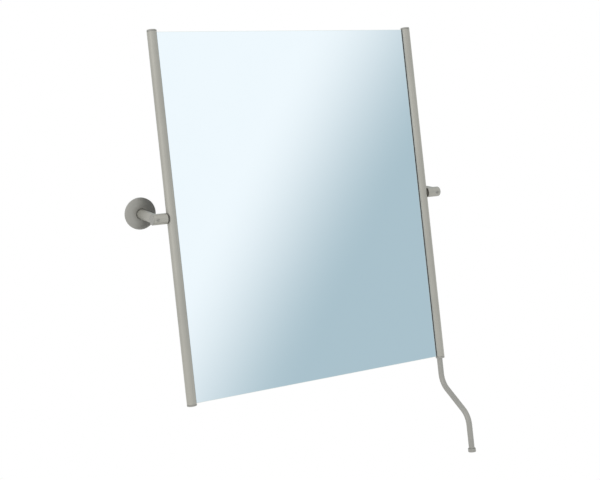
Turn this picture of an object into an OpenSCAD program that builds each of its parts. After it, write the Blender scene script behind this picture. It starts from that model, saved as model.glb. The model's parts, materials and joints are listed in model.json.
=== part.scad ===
// Pivot wall mirror: a pane held by its two upright edges in slotted round tubes, hung between two
// wall arms on friction pivots at mid height, and tilted by a bent lever under the right-hand tube.
// Millimetres. Origin on the wall, midway between the two arms, at the height of the tilt axis.
// +X is the viewer's right, -Y comes out of the wall into the room and +Z is up.

/* [Pane] */
// Width of the glass, hidden edges included
glass_w = 600; // [450:10:700]
// Height of the glass, which is also the length of the side tubes
glass_h = 742; // [560:2:800]
// Thickness of the glass
glass_t = 5; // [4:0.5:6]
// Thickness of the safety film on the back of the glass
film_t = 0.3; // [0.2:0.1:0.5]
// Distance that the film stays back from the edges of the glass
film_inset = 1; // [0:0.5:2]
// Ground arris along the top and bottom edges of the glass
arris = 0.6; // [0.3:0.1:1]
// Lean of the pane from upright as it hangs here, top towards the wall
rest_tilt = 11; // [0:0.5:12]

/* [Side tubes] */
// Outer diameter of the side tubes
tube_d = 20; // [19:0.5:24]
// Wall of the side tubes
tube_wall = 2; // [1.5:0.1:2.2]
// Distance from the edge of the glass to the axis of its tube
edge_inset = 4; // [3.9:0.1:5]
// Distance that the pane and its slots sit behind the axes of the tubes
pane_back = 2; // [0:0.1:2]
// Thickness of the cheeks that line the glazing slot inside the tube
cheek_t = 1.2; // [1:0.1:1.5]
// Thickness of each lip of the glazing gasket
gasket_lip = 1.85; // [1.5:0.05:2]
// Thickness of the gasket behind the edge of the glass
gasket_base = 0.8; // [0.5:0.1:1]
// How far the gasket lips stay inside the side of the tube
lip_inset = 0.3; // [0.1:0.1:1]
// Height of the cap that shows at a tube end
cap_h = 4; // [3:0.5:8]
// Rounding of the cap's outer edge
cap_round = 1.6; // [0.5:0.1:2]
// Length of the plug that holds a cap in its tube
plug_l = 18; // [12:1:30]
// Play between a plug or insert and the bore of the tube
plug_play = 0.1; // [0.05:0.05:0.2]

/* [Pivots] */
// Distance of the tilt axis from the wall
axis_reach = 90; // [88:1:120]
// Thickness of the friction washer between tube and pivot housing
washer_t = 1; // [1:0.5:3]
// Diameter of the friction washer
washer_d = 21; // [18:0.5:22]
// Diameter of the saddle behind the washer, which seats on the round tube
saddle_d = 14; // [12:0.5:15]
// Outer diameter of the pivot housing
housing_d = 22; // [21:0.5:24]
// Length of the pivot housing, end cap included
housing_l = 32.5; // [31:0.5:36]
// Wall of the pivot housing around its bore
housing_wall = 2; // [1.8:0.1:2.2]
// Thickness of the housing's inner end, which carries the bush
end_wall = 6; // [5:0.5:7]
// Bevel around the inner end of the housing
housing_bevel = 0.8; // [0.4:0.1:1]
// Thickness of the housing's end cap
housing_cap_t = 3; // [2.5:0.1:3.5]
// Rounding of the housing's end cap
housing_cap_round = 2.2; // [1:0.1:2.4]
// Length of the end cap's spigot in the housing bore
housing_spigot_l = 3.5; // [2:0.5:4]
// Diameter of the pivot bolt's shank
bolt_d = 8; // [6:0.5:8]
// Diameter of the pivot bolt's head
bolt_head_d = 13; // [12.5:0.1:14]
// Height of the pivot bolt's head
bolt_head_h = 5; // [4:0.5:6]
// Rounding of the pivot bolt's head
bolt_head_round = 0.5; // [0.2:0.1:1]
// Size across flats of the hexagon socket in the pivot bolt
bolt_hex = 6; // [4:0.5:6]
// Depth of the hexagon socket in the pivot bolt
bolt_hex_depth = 2.5; // [1.5:0.1:3]
// Outer diameter of the bush
bush_d = 12; // [11:0.5:13]
// Diameter of the bush's flange
bush_flange_d = 17; // [16:0.5:17]
// Thickness of the bush's flange
bush_flange_t = 1.5; // [1:0.1:2]
// Radial play of the bolt in the bush
bush_play = 0.05; // [0.02:0.01:0.1]
// Outer diameter of a disc spring
spring_d = 16; // [14:0.5:16]
// Thickness of a disc spring
spring_t = 0.9; // [0.7:0.1:1]
// Height of a disc spring's cone above its own thickness
spring_rise = 0.35; // [0.2:0.05:0.5]
// Number of disc springs nested under each bolt head
spring_count = 2; // [1:1:2]
// Height of the threaded insert inside the tube
insert_h = 30; // [20:1:40]

/* [Arms] */
// Outer diameter of the arm tube
post_d = 20; // [18:0.5:20]
// Wall of the arm tube
post_wall = 2; // [1.5:0.1:2.2]
// Distance from the arm's axis to the housing's outer end
post_inset = 10.5; // [10:0.5:12]
// Length of the threaded plug in the front end of the arm
post_plug_l = 14; // [10:1:20]
// Diameter of the arm screw's shank
arm_screw_d = 4; // [3:0.5:4]
// Length of the arm screw
arm_screw_l = 30; // [26:1:32]
// Diameter of the arm screw's countersunk head
arm_head_d = 7.5; // [6.5:0.1:8]
// Height of the arm screw's countersunk head
arm_head_h = 2.1; // [1.5:0.1:2.3]
// Depth of the arm screw's head below the crown of the housing
arm_head_sink = 0.75; // [0.7:0.05:1]
// Size across flats of the hexagon socket in the arm screw
arm_hex = 2.5; // [2:0.5:3]
// Depth of the hexagon socket in the arm screw
arm_hex_depth = 1.7; // [1:0.1:1.8]

/* [Wall fixing] */
// Diameter of the wall plate
plate_d = 62; // [58:0.5:62.5]
// Thickness of the wall plate
plate_t = 3; // [2.5:0.1:3.5]
// Rounding of the wall plate's outer edge
plate_round = 0.5; // [0.2:0.1:1]
// Length of the boss that carries the arm
boss_l = 22; // [16:1:30]
// Distance between the two screw holes of a wall plate, one above the other
screw_pitch = 39; // [38:0.5:40]
// Diameter of the wall screw holes
screw_hole_d = 5.2; // [4.5:0.1:5.5]
// Diameter of the countersink of the wall screw holes
screw_csk_d = 10; // [9:0.5:10.5]
// Diameter of the set screws
set_screw_d = 4; // [3:0.5:4]
// Length of the set screws in the arms
set_screw_l = 6; // [5:0.5:6.5]
// Depth of the set screws below the surface of the tube that they sit in
set_screw_sink = 0.5; // [0.3:0.1:1]
// Distance of the arm's set screw from the wall
set_screw_y = 8; // [7:0.5:12]
// Diameter of the rosette
rosette_d = 66; // [66:0.5:72]
// Height of the rosette's straight rim
rosette_rim = 4; // [3:0.5:5]
// Height of the rosette at its collar
rosette_h = 9; // [8:0.5:12]
// Wall of the rosette
rosette_wall = 1.5; // [1:0.1:1.6]
// Play of the rosette over the wall plate
rosette_play = 0.25; // [0.1:0.05:0.4]
// Gap between the rosette and the arm
rosette_gap = 0.7; // [0.2:0.1:0.8]

/* [Lever] */
// Diameter of the lever rod
rod_d = 12.5; // [10:0.5:14]
// Straight length of the rod below the collar
rod_top_l = 36; // [30:1:60]
// Radius of the two bends, on the rod's axis
bend_r = 42; // [20:1:50]
// Angle of the two bends
bend_a = 52; // [30:1:60]
// Straight length between the bends
rod_mid_l = 66; // [50:1:110]
// Straight length below the second bend
rod_grip_l = 56; // [40:1:100]
// Distance that the lever rod sits behind the axis of the tube
rod_back = 2.5; // [0:0.1:2.5]
// Diameter of the collar at the tube end
collar_d = 20; // [20:0.5:25]
// Height of the collar at the tube end
collar_h = 4.5; // [4:0.5:8]
// Depth of the rod's seat in the collar
seat_depth = 3.5; // [2:0.5:3.5]
// Length of the collar's plug in the tube
collar_plug_l = 30; // [28:1:40]
// Diameter of the stud that joins the rod to the collar
stud_d = 5; // [4:0.5:5]
// Length of the stud in the rod
stud_in_rod = 12; // [8:1:20]
// Length of the stud above the rod
stud_in_plug = 17; // [12:1:18]
// Height of the collar's set screw above the tube end
collar_screw_z = 23; // [22:0.5:25]
// Diameter of the knob at the end of the rod
knob_d = 17; // [16:0.5:24]
// Height of the knob
knob_h = 8; // [8:0.5:20]
// Depth of the rod's seat in the knob
knob_seat = 5.5; // [4:0.5:6]
// Rounding of the knob and collar edges
knob_round = 0.9; // [0.5:0.1:1.2]

/* [Hidden] */

$fn = 96;
LEFT = -1;
RIGHT = 1;

// Play of a screw in its hole, and the overshoot of a cutting body
thread_play = 0.05;
cut = 1;

// Finishes
coated = [0.67, 0.665, 0.64];
bare_steel = [0.78, 0.79, 0.8];
zinc = [0.62, 0.63, 0.65];
black = [0.1, 0.1, 0.1];
silvered = [0.85, 0.92, 0.96];
film_grey = [0.45, 0.48, 0.5];

// Side tube section. Its own frame has +X pointing outward, away from the glass.
tube_r = tube_d / 2;
bore_r = tube_r - tube_wall;
pane_t = glass_t + film_t;
slot_w = pane_t + 2 * gasket_lip;
axis_x = glass_w / 2 + edge_inset;
pocket_x = edge_inset - gasket_base;
flat_x = pocket_x - 2 * plug_play;
plug_r = bore_r - plug_play;

// Places along a pivot, measured outward from the axis of the tube
washer_end = tube_r + washer_t;
housing_bore_r = housing_d / 2 - housing_wall;
bush_end = washer_end + end_wall;
flange_end = bush_end + bush_flange_t;
spring_step = spring_t + thread_play;
head_start = flange_end + spring_rise + spring_count * spring_step + thread_play;
housing_end = washer_end + housing_l;
post_u = housing_end - post_inset;
bolt_tip = -(flat_x - plug_play);
bolt_r = bolt_d / 2;

// Arm and wall plate
post_r = post_d / 2;
post_bore_r = post_r - post_wall;
post_x = axis_x + post_u;
boss_r = post_bore_r - plug_play;
arm_screw_r = arm_screw_d / 2;
arm_head_y = housing_d / 2 - arm_head_sink;
set_screw_r = set_screw_d / 2;
set_screw_start = post_r - set_screw_sink - set_screw_l;

// Lever, with the draw of the rod in a bend and the lap of a straight length over it
bend_draw = 0.02;
bend_lap = 0.3;
rod_r = rod_d / 2;
stud_r = stud_d / 2;
collar_z = -glass_h / 2 - collar_h;
collar_screw_start = rod_back + stud_r;
collar_screw_l = tube_r - set_screw_sink - collar_screw_start;

// Mirrors a right-hand piece to the left-hand side
module side(s) {
    if (s == LEFT) mirror([1, 0, 0]) children();
    else children();
}

// Frame of the tilting pane: its X axis is the tilt axis, its Z axis runs up the glass
module pane_frame() {
    translate([0, -axis_reach, 0]) rotate([-rest_tilt, 0, 0]) children();
}

// Middle of the pane, which sits behind the tilt axis
module glass_frame() {
    pane_frame() translate([0, pane_back, 0]) children();
}

// Axis of a side tube in the pane's frame
module tube_frame(s) {
    pane_frame() side(s) translate([axis_x, 0, 0]) children();
}

// Pivot axis with Z pointing outward from the tube
module pivot_frame(s) {
    tube_frame(s) rotate([0, 90, 0]) children();
}

// Fixed pivot axis, level with the wall plate, with Z pointing outward
module housing_frame(s) {
    side(s) translate([axis_x, -axis_reach, 0]) rotate([0, 90, 0]) children();
}

// Axis of an arm with Z pointing out of the wall
module wall_frame(s) {
    side(s) translate([post_x, 0, 0]) rotate([90, 0, 0]) children();
}

// Hexagonal prism by its size across flats
module hexagon(flats, h) {
    cylinder(h = h, d = flats / cos(30), $fn = 6);
}

// Disc from Z = 0 up to h whose upper edge is rounded
module rounded_disc(r, h, round) {
    rotate_extrude() {
        square([r, h - round]);
        square([r - round, h]);
        intersection() {
            translate([r - round, h - round]) circle(r = round, $fn = 48);
            square([r, h]);
        }
    }
}

// Disc from Z = 0 up to h with both edges rounded
module pebble(r, h, round) {
    rotate_extrude() {
        translate([0, round]) square([r, h - 2 * round]);
        square([r - round, h]);
        for (z = [round, h - round]) intersection() {
            translate([r - round, z]) circle(r = round, $fn = 48);
            square([r, h]);
        }
    }
}

// Cylinder with a hexagon socket in its upper end, half as wide as the screw and half as deep
module set_screw(r, l) {
    socket_flats = r;
    socket_start = l / 2;
    difference() {
        cylinder(h = l, r = r, $fn = 48);
        translate([0, 0, socket_start]) hexagon(socket_flats, l);
    }
}

// ---------- Pane ----------

module mirror_glass() {
    front = pane_t / 2;
    back = front - glass_t;
    low = -glass_h / 2;
    high = glass_h / 2;
    outline = [
        [low, -back - arris], [low, -front + arris], [low + arris, -front], [high - arris, -front],
        [high, -front + arris], [high, -back - arris], [high - arris, -back], [low + arris, -back]
    ];
    color(silvered) glass_frame() rotate([0, -90, 0]) linear_extrude(glass_w, center = true)
        polygon(outline);
}

module safety_film() {
    w = glass_w - 2 * film_inset;
    h = glass_h - 2 * (film_inset + arris);
    color(film_grey) glass_frame() translate([-w / 2, pane_t / 2 - film_t, -h / 2]) cube([w, film_t, h]);
}

// ---------- Side tubes ----------

// Round tube with a glazing slot towards the glass, lined by two cheeks
module tube_section() {
    difference() {
        circle(tube_r);
        circle(bore_r);
        translate([-tube_r - cut, pane_back - slot_w / 2]) square([tube_r + cut, slot_w]);
    }
    for (cheek_y = [-slot_w / 2 - cheek_t, slot_w / 2]) intersection() {
        circle(tube_r - tube_wall / 2);
        translate([-tube_r, pane_back + cheek_y]) square([tube_r - pocket_x, cheek_t]);
    }
}

// Section of what fills the tube's bore behind the slot
module plug_section() {
    intersection() {
        circle(plug_r);
        translate([-flat_x, -tube_r]) square([flat_x + tube_r, tube_d]);
    }
}

module side_tube(s) {
    color(coated) tube_frame(s) difference() {
        linear_extrude(glass_h, center = true) tube_section();
        rotate([0, 90, 0]) cylinder(h = tube_d, r = bolt_r + bush_play);
        if (s == RIGHT) translate([0, 0, -glass_h / 2 + collar_screw_z]) rotate([-90, 0, 0])
            cylinder(h = tube_d, r = set_screw_r + thread_play, $fn = 48);
    }
}

// Glazing gasket: a channel round the edge of the pane, with rounded lips
module gasket_section() {
    lip_end = tube_r - lip_inset - gasket_lip / 2;
    lip_y = pane_t / 2 + gasket_lip / 2;
    difference() {
        translate([-lip_end, -slot_w / 2]) square([lip_end - pocket_x, slot_w]);
        translate([-lip_end - cut, -pane_t / 2]) square([lip_end + cut - edge_inset, pane_t]);
    }
    for (y = [-lip_y, lip_y]) translate([-lip_end, y]) circle(d = gasket_lip, $fn = 32);
}

module gasket(s) {
    color(black) tube_frame(s) linear_extrude(glass_h, center = true)
        translate([0, pane_back]) gasket_section();
}

// Cap with its plug, standing on Z = 0 with the plug below
module tube_cap() {
    rounded_disc(tube_r, cap_h, cap_round);
    translate([0, 0, -plug_l]) linear_extrude(plug_l + cap_h / 2) plug_section();
}

module top_cap(s) {
    color(coated) tube_frame(s) translate([0, 0, glass_h / 2]) tube_cap();
}

module bottom_cap_left() {
    color(coated) tube_frame(LEFT) translate([0, 0, -glass_h / 2]) mirror([0, 0, 1]) tube_cap();
}

// ---------- Pivots ----------

module pivot_insert(s) {
    color(zinc) tube_frame(s) difference() {
        linear_extrude(insert_h, center = true) plug_section();
        rotate([0, 90, 0]) cylinder(h = 2 * tube_d, r = bolt_r + thread_play, center = true);
    }
}

// Flat washer against the housing, with a saddle that seats on the round tube
module friction_washer(s) {
    color(black) tube_frame(s) difference() {
        rotate([0, 90, 0]) {
            translate([0, 0, tube_r]) cylinder(h = washer_t, d = washer_d);
            cylinder(h = washer_end, d = saddle_d);
        }
        cylinder(h = 2 * washer_d, r = tube_r + thread_play, center = true);
        rotate([0, 90, 0]) cylinder(h = 2 * tube_d, r = bolt_r + bush_play);
    }
}

module pivot_bolt(s) {
    color(bare_steel) pivot_frame(s) difference() {
        union() {
            translate([0, 0, bolt_tip]) cylinder(h = head_start - bolt_tip + cut, r = bolt_r);
            translate([0, 0, head_start]) rounded_disc(bolt_head_d / 2, bolt_head_h, bolt_head_round);
        }
        translate([0, 0, head_start + bolt_head_h - bolt_hex_depth]) hexagon(bolt_hex, bolt_head_h);
    }
}

// Nested disc springs between the bush and the bolt head
module disc_springs(s) {
    inner = bolt_r + bush_play;
    outer = spring_d / 2;
    color(bare_steel) pivot_frame(s) for (i = [0 : spring_count - 1])
        translate([0, 0, flange_end + thread_play + i * spring_step]) rotate_extrude()
            polygon([[inner, spring_rise], [outer, 0], [outer, spring_t], [inner, spring_rise + spring_t]]);
}

module pivot_bush(s) {
    color(black) housing_frame(s) difference() {
        union() {
            translate([0, 0, washer_end]) cylinder(h = end_wall + bush_flange_t, d = bush_d);
            translate([0, 0, bush_end]) cylinder(h = bush_flange_t, d = bush_flange_d);
        }
        cylinder(h = housing_end, r = bolt_r + bush_play);
    }
}

module pivot_housing(s) {
    barrel_l = housing_l - housing_cap_t;
    r = housing_d / 2;
    barrel = [[0, 0], [r - housing_bevel, 0], [r, housing_bevel], [r, barrel_l], [0, barrel_l]];
    color(coated) housing_frame(s) difference() {
        translate([0, 0, washer_end]) rotate_extrude() polygon(barrel);
        translate([0, 0, bush_end]) cylinder(h = housing_l, r = housing_bore_r);
        cylinder(h = housing_end, r = bush_d / 2 + thread_play);
        translate([0, 0, post_u]) rotate([-90, 0, 0]) {
            cylinder(h = housing_d, r = arm_screw_r + thread_play, $fn = 48);
            mirror([0, 0, 1]) cylinder(h = housing_d, r = arm_screw_r + thread_play, $fn = 48);
            mirror([0, 0, 1]) arm_head_recess();
        }
    }
}

// Countersink and clearance for the arm screw's head
module arm_head_recess() {
    neck = arm_head_y - arm_head_h;
    shank_r = arm_screw_r + thread_play;
    head_r = arm_head_d / 2 + thread_play;
    rotate_extrude($fn = 48)
        polygon([[0, neck], [shank_r, neck], [head_r, arm_head_y], [head_r, housing_d], [0, housing_d]]);
}

module housing_cap(s) {
    color(coated) housing_frame(s) translate([0, 0, housing_end - housing_cap_t]) {
        rounded_disc(housing_d / 2, housing_cap_t, housing_cap_round);
        translate([0, 0, -housing_spigot_l])
            cylinder(h = housing_spigot_l + housing_cap_t / 2, r = housing_bore_r - plug_play);
    }
}

// ---------- Arms ----------

// The screw's Z axis runs from the pivot's axis out through the front of the housing
module arm_screw(s) {
    tip = arm_head_y - arm_screw_l;
    neck = arm_head_y - arm_head_h;
    head_r = arm_head_d / 2;
    outline = [[0, tip], [arm_screw_r, tip], [arm_screw_r, neck], [head_r, arm_head_y], [0, arm_head_y]];
    color(coated) wall_frame(s) translate([0, 0, axis_reach]) difference() {
        rotate_extrude($fn = 48) polygon(outline);
        translate([0, 0, arm_head_y - arm_hex_depth]) hexagon(arm_hex, arm_head_h);
    }
}

// The round housing, taken out of whatever ends against it
module housing_cope() {
    translate([0, 0, axis_reach]) rotate([0, 90, 0])
        cylinder(h = 2 * housing_l, d = housing_d, center = true);
}

module post_plug(s) {
    top = axis_reach - housing_d / 2;
    color(zinc) wall_frame(s) difference() {
        translate([0, 0, top - post_plug_l]) cylinder(h = post_plug_l + housing_d / 2, r = boss_r);
        housing_cope();
        cylinder(h = axis_reach, r = arm_screw_r + thread_play, $fn = 48);
    }
}

module arm_post(s) {
    color(coated) wall_frame(s) difference() {
        translate([0, 0, plate_t]) cylinder(h = axis_reach - plate_t, r = post_r);
        cylinder(h = axis_reach, r = post_bore_r);
        housing_cope();
        set_screw_hole();
    }
}

// Radial hole under the arm, near the wall
module set_screw_hole() {
    translate([0, 0, set_screw_y]) rotate([-90, 0, 0]) mirror([0, 0, 1])
        translate([0, 0, set_screw_start])
            cylinder(h = post_d, r = set_screw_r + thread_play, $fn = 48);
}

module arm_set_screws() {
    color(bare_steel) for (s = [LEFT, RIGHT]) wall_frame(s)
        translate([0, 0, set_screw_y]) rotate([-90, 0, 0]) mirror([0, 0, 1])
            translate([0, 0, set_screw_start]) set_screw(set_screw_r, set_screw_l);
}

// ---------- Wall fixing ----------

module wall_plate(s) {
    csk_depth = (screw_csk_d - screw_hole_d) / 2;
    color(zinc) wall_frame(s) difference() {
        union() {
            rounded_disc(plate_d / 2, plate_t, plate_round);
            cylinder(h = plate_t + boss_l, r = boss_r);
        }
        for (a = [-1, 1]) translate([0, a * screw_pitch / 2, 0]) {
            translate([0, 0, -cut]) cylinder(h = plate_t + 2 * cut, d = screw_hole_d, $fn = 48);
            translate([0, 0, plate_t - csk_depth])
                cylinder(h = csk_depth, d1 = screw_hole_d, d2 = screw_csk_d, $fn = 48);
        }
        set_screw_hole();
    }
}

// Area under a shallow arch that rises from rim at radius r to h at radius r_in
module dome_section(r, r_in, rim, h) {
    span = r - r_in;
    rise = h - rim;
    arch_r = (span * span + rise * rise) / (2 * rise);
    square([r, rim]);
    intersection() {
        translate([r_in, h - arch_r]) circle(r = arch_r, $fn = 256);
        square([r, h]);
    }
    square([r_in, h]);
}

module rosette(s) {
    bore = post_r + rosette_gap;
    r = rosette_d / 2;
    color(coated) wall_frame(s) rotate_extrude() difference() {
        dome_section(r, bore + rosette_wall, rosette_rim, rosette_h);
        translate([0, -cut]) square([bore, rosette_h + 2 * cut]);
        translate([0, -rosette_wall])
            dome_section(r - rosette_wall, bore + rosette_wall, rosette_rim, rosette_h);
        translate([0, -cut]) square([r - rosette_wall, plate_t + rosette_play + cut]);
    }
}

// ---------- Lever ----------

// Frame at the underside of the collar
module lever_frame() {
    tube_frame(RIGHT) translate([0, 0, collar_z]) children();
}

// Axis of the lever rod, behind the axis of the tube
module rod_frame() {
    lever_frame() translate([0, rod_back, 0]) children();
}

module lever_collar() {
    color(coated) lever_frame() difference() {
        union() {
            pebble(collar_d / 2, collar_h, knob_round);
            translate([0, 0, collar_h / 2]) linear_extrude(collar_h / 2 + collar_plug_l) plug_section();
        }
        translate([0, rod_back, 0]) {
            translate([0, 0, -cut]) cylinder(h = seat_depth + cut, r = rod_r + thread_play);
            cylinder(h = seat_depth + stud_in_plug + cut, r = stud_r + thread_play, $fn = 48);
        }
        translate([0, 0, collar_h + collar_screw_z]) rotate([-90, 0, 0])
            translate([0, 0, collar_screw_start])
                cylinder(h = tube_d, r = set_screw_r + thread_play, $fn = 48);
    }
}

module collar_set_screw() {
    color(bare_steel) lever_frame() translate([0, 0, collar_h + collar_screw_z]) rotate([-90, 0, 0])
        translate([0, 0, collar_screw_start]) set_screw(set_screw_r, collar_screw_l);
}

module lever_stud() {
    color(bare_steel) rod_frame() translate([0, 0, seat_depth - stud_in_rod])
        cylinder(h = stud_in_rod + stud_in_plug, r = stud_r, $fn = 48);
}

// Straight piece of rod that hangs from the origin and laps over the bends at its ends
module rod_straight(l, above = bend_lap, below = bend_lap) {
    translate([0, 0, -l - below]) cylinder(h = l + above + below, r = rod_r);
}

// Bend that starts at the origin heading down and turns into the room. The rod draws thinner there.
module rod_bend() {
    translate([0, -bend_r, 0]) rotate([-90, 0, 90]) rotate_extrude(angle = bend_a)
        translate([bend_r, 0]) circle(rod_r - bend_draw);
}

// Moves the frame from the start of a bend to its end
module past_bend() {
    translate([0, -bend_r, 0]) rotate([-bend_a, 0, 0]) translate([0, bend_r, 0]) children();
}

// Frame below the second bend, where the rod runs along the tube's direction again
module grip_frame() {
    translate([0, 0, -rod_top_l]) past_bend() translate([0, 0, -rod_mid_l])
        mirror([0, 1, 0]) past_bend() mirror([0, 1, 0]) children();
}

module lever_rod() {
    color(coated) rod_frame() difference() {
        union() {
            rod_straight(rod_top_l, above = seat_depth);
            translate([0, 0, -rod_top_l]) {
                rod_bend();
                past_bend() {
                    rod_straight(rod_mid_l);
                    translate([0, 0, -rod_mid_l]) mirror([0, 1, 0]) rod_bend();
                }
            }
            grip_frame() rod_straight(rod_grip_l, below = 0);
        }
        translate([0, 0, seat_depth - stud_in_rod - cut])
            cylinder(h = stud_in_rod + 2 * cut, r = stud_r + thread_play, $fn = 48);
    }
}

module lever_knob() {
    color(coated) rod_frame() grip_frame()
        translate([0, 0, -rod_grip_l - knob_h + knob_seat]) difference() {
            pebble(knob_d / 2, knob_h, knob_round);
            translate([0, 0, knob_h - knob_seat]) cylinder(h = knob_h, r = rod_r + thread_play);
        }
}

// ---------- Assembly ----------

mirror_glass();
safety_film();
side_tube(LEFT);  // side_tube_left
side_tube(RIGHT);  // side_tube_right
gasket(LEFT);  // gasket_left
gasket(RIGHT);  // gasket_right
top_cap(LEFT);  // top_cap_left
top_cap(RIGHT);  // top_cap_right
bottom_cap_left();
pivot_insert(LEFT);  // pivot_insert_left
pivot_insert(RIGHT);  // pivot_insert_right
friction_washer(LEFT);  // friction_washer_left
friction_washer(RIGHT);  // friction_washer_right
pivot_bolt(LEFT);  // pivot_bolt_left
pivot_bolt(RIGHT);  // pivot_bolt_right
disc_springs(LEFT);  // disc_springs_left
disc_springs(RIGHT);  // disc_springs_right
lever_collar();
lever_stud();
lever_rod();
lever_knob();
collar_set_screw();
pivot_bush(LEFT);  // pivot_bush_left
pivot_bush(RIGHT);  // pivot_bush_right
pivot_housing(LEFT);  // pivot_housing_left
pivot_housing(RIGHT);  // pivot_housing_right
housing_cap(LEFT);  // housing_cap_left
housing_cap(RIGHT);  // housing_cap_right
arm_screw(LEFT);  // arm_screw_left
arm_screw(RIGHT);  // arm_screw_right
post_plug(LEFT);  // post_plug_left
post_plug(RIGHT);  // post_plug_right
arm_post(LEFT);  // arm_post_left
arm_post(RIGHT);  // arm_post_right
wall_plate(LEFT);  // wall_plate_left
wall_plate(RIGHT);  // wall_plate_right
arm_set_screws();
rosette(LEFT);  // rosette_left
rosette(RIGHT);  // rosette_right
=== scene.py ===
# %% [markdown]
# # A pivot wall mirror, dressed for its picture
#
# The real object is a pane of silvered glass held by its two upright edges. Each edge sits in rubber
# in a slotted round tube, and the two tubes hang between wall arms on friction pivots. A bent lever
# under the right-hand tube lets someone seated tilt the pane.
#
# The sizes and the motion are settled in a solid model. This lesson loads that model as a fixed frame
# and gives it its looks: finishes for the solids that are right as they are, and finer meshes for the
# pieces whose edges, rims and surfaces the eye follows. Nothing here moves or resizes a solid.

# %% Load the frame
import json
import math

import bmesh
import bpy
from mathutils import Matrix, Vector


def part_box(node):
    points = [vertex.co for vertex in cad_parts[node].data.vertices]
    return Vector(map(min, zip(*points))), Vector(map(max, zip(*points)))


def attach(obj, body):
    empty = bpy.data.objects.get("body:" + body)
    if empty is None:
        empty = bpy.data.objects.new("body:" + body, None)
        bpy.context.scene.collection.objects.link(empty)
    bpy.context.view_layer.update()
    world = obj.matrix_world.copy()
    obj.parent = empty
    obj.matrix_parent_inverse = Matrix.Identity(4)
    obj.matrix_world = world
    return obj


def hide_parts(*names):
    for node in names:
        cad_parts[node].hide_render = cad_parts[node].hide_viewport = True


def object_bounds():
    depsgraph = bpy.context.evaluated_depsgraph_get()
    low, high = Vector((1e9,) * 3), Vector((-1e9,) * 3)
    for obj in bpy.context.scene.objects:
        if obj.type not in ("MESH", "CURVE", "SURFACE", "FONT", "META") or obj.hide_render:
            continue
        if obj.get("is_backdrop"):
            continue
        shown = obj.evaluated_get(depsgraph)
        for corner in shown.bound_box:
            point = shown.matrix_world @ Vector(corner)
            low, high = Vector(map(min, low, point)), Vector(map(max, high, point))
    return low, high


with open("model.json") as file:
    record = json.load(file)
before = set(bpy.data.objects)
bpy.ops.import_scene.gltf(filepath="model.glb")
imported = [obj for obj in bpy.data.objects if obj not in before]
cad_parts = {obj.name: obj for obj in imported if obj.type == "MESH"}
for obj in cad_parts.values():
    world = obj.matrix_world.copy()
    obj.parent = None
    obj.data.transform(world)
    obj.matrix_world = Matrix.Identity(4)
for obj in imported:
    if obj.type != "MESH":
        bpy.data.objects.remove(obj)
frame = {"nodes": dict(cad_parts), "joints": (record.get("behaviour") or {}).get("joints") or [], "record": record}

cad_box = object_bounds()
nodes = frame["nodes"]

# %% [markdown]
# ## The few sizes that drive everything
#
# A finer mesh has to sit exactly where its solid is, so the sizes below are the object's own, in
# metres. The next cell also prints four of them beside what the loaded solids measure. If the solid
# model changes in one of these, that shows before a single mesh is made.

# %% Driving sizes
MM = 0.001
GLASS_W, GLASS_H, GLASS_T, FILM_T = 600 * MM, 742 * MM, 5 * MM, 0.3 * MM
ARRIS = 0.6 * MM
LEAN = math.radians(11)
REACH = 90 * MM
PANE_BACK, ROD_BACK = 2 * MM, 2.5 * MM
TUBE_R, EDGE_INSET = 10 * MM, 4 * MM
CAP_H, CAP_ROUND = 4 * MM, 1.6 * MM
PLUG_R, PLUG_FLAT, PLUG_L, COLLAR_PLUG_L = 7.9 * MM, 3.0 * MM, 18 * MM, 30 * MM
WASHER_T, HOUSING_R, HOUSING_L = 1 * MM, 11 * MM, 32.5 * MM
HOUSING_CAP_T, HOUSING_CAP_ROUND = 3 * MM, 2.2 * MM
SPIGOT_R, SPIGOT_L = 8.9 * MM, 3.5 * MM
POST_R, POST_INSET = 10 * MM, 10.5 * MM
ROSETTE_R, ROSETTE_RIM, ROSETTE_H, ROSETTE_WALL = 33 * MM, 4 * MM, 9 * MM, 1.5 * MM
ROD_R, BEND_R, BEND = 6.25 * MM, 42 * MM, math.radians(52)
ROD_TOP, ROD_MID, ROD_GRIP = 36 * MM, 66 * MM, 56 * MM
COLLAR_R, COLLAR_H, SEAT = 10 * MM, 4.5 * MM, 3.5 * MM
KNOB_R, KNOB_H, KNOB_SEAT, KNOB_ROUND = 8.5 * MM, 8 * MM, 5.5 * MM, 0.9 * MM
PLAY = 0.05 * MM

AXIS_X = GLASS_W / 2 + EDGE_INSET
HOUSING_END = TUBE_R + WASHER_T + HOUSING_L
POST_X = AXIS_X + HOUSING_END - POST_INSET
PANE_T = GLASS_T + FILM_T


def middle(node):
    """Centre of a solid's box."""
    low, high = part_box(node)
    return (low + high) / 2


def compare(label, ours, theirs):
    """Prints a size of ours beside the frame's, in millimetres."""
    print(f"{label}: {ours / MM:.2f} mm here, {theirs / MM:.2f} mm in the frame")


compare("tube axis", AXIS_X, middle("side_tube_right").x)
compare("arm axis", POST_X, middle("arm_post_right").x)
compare("reach", -REACH, frame["joints"][0]["pos_m"][1])
compare("glass width", GLASS_W, 2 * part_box("mirror_glass")[1].x)

# %% [markdown]
# ## Frames to build in
#
# A piece is easiest to draw upright on its own axis, and is then carried to its place by a matrix. The
# pane leans back with its top towards the wall, so it has a frame of its own on the tilt axis. Every
# other frame follows from that one or from the wall. The matrices go into the vertices, because a
# finished piece's own origin stays at the origin of the whole object.

# %% Frames
LEFT, RIGHT = -1, 1
SIDES = {LEFT: "left", RIGHT: "right"}
PANE = Matrix.Translation((0, -REACH, 0)) @ Matrix.Rotation(-LEAN, 4, "X")
GLASS = PANE @ Matrix.Translation((0, PANE_BACK, 0))


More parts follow.
